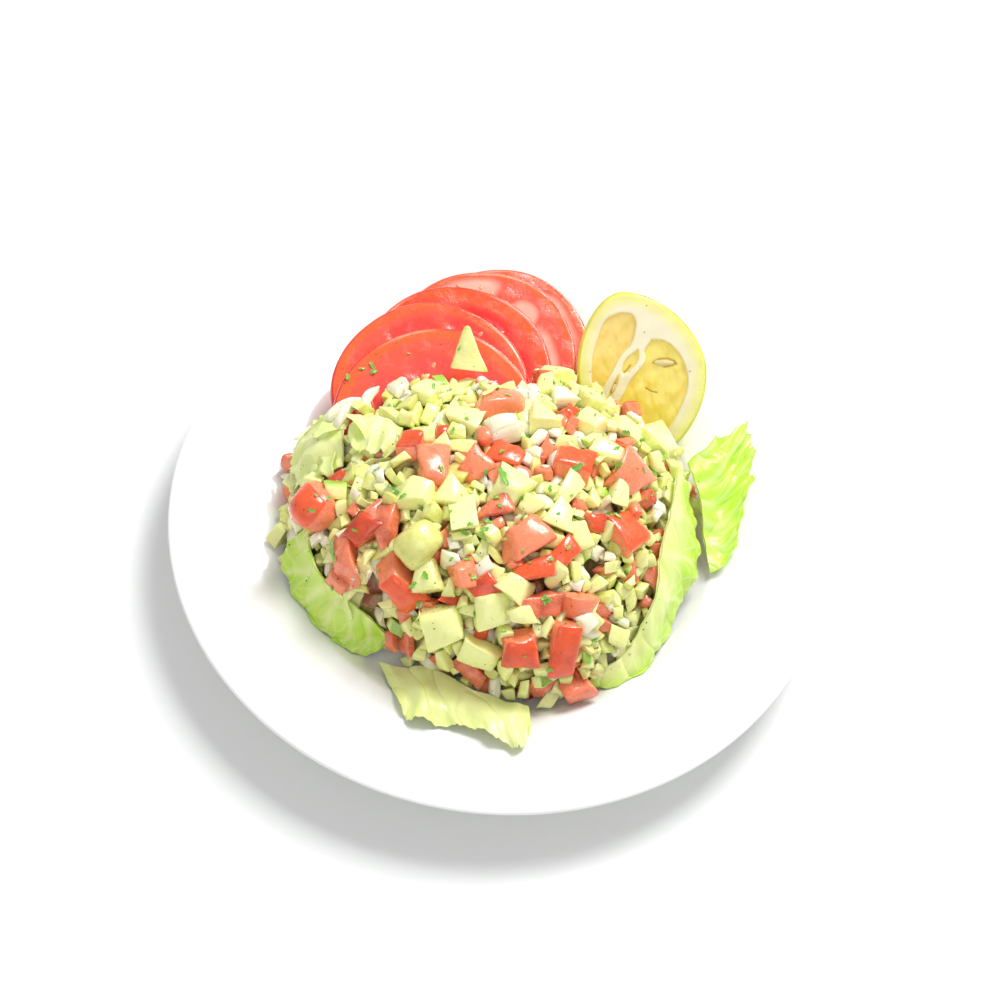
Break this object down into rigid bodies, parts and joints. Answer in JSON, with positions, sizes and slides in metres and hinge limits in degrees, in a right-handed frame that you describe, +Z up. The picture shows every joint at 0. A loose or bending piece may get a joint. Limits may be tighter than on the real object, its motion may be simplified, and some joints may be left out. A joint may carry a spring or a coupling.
{
  "type": "moroccan salad",
  "caption": "Chopped tomato, cucumber and onion salad heaped on a white rimmed plate, with fanned tomato slices, half a lemon and lettuce leaves.",
  "frame": {"origin": "centre of the plate, on the surface that its foot ring stands on", "axes": "+Z up, -Y towards the eater and the picture's camera, +X to the right, the tomato slices and the lemon at +Y"},
  "size_m": [0.27, 0.27, 0.0711],
  "materials": {
    "porcelain": "white glazed porcelain, glossy",
    "chopped_salad": "mixed chopped tomato, cucumber and onion, wet with dressing",
    "tomato": "fresh cut tomato, moist",
    "lemon": "cut lemon, juicy pulp, pale pith and waxy peel",
    "lettuce": "fresh lettuce leaf, thin and slightly glossy",
    "cucumber": "fresh cut cucumber, moist"
  },
  "bodies": {
    "root": {"plate": "porcelain", "salad_heap": "chopped_salad", "tomato_slice_1": "tomato", "tomato_slice_2": "tomato", "tomato_slice_3": "tomato", "tomato_slice_4": "tomato", "tomato_slice_5": "tomato", "lemon_half": "lemon", "lettuce_right_back": "lettuce", "lettuce_right_front": "lettuce", "lettuce_left": "lettuce", "lettuce_front": "lettuce", "lettuce_left_back": "lettuce", "lettuce_scrap": "lettuce", "cucumber_wedge": "cucumber"}
  },
  "joints": []
}
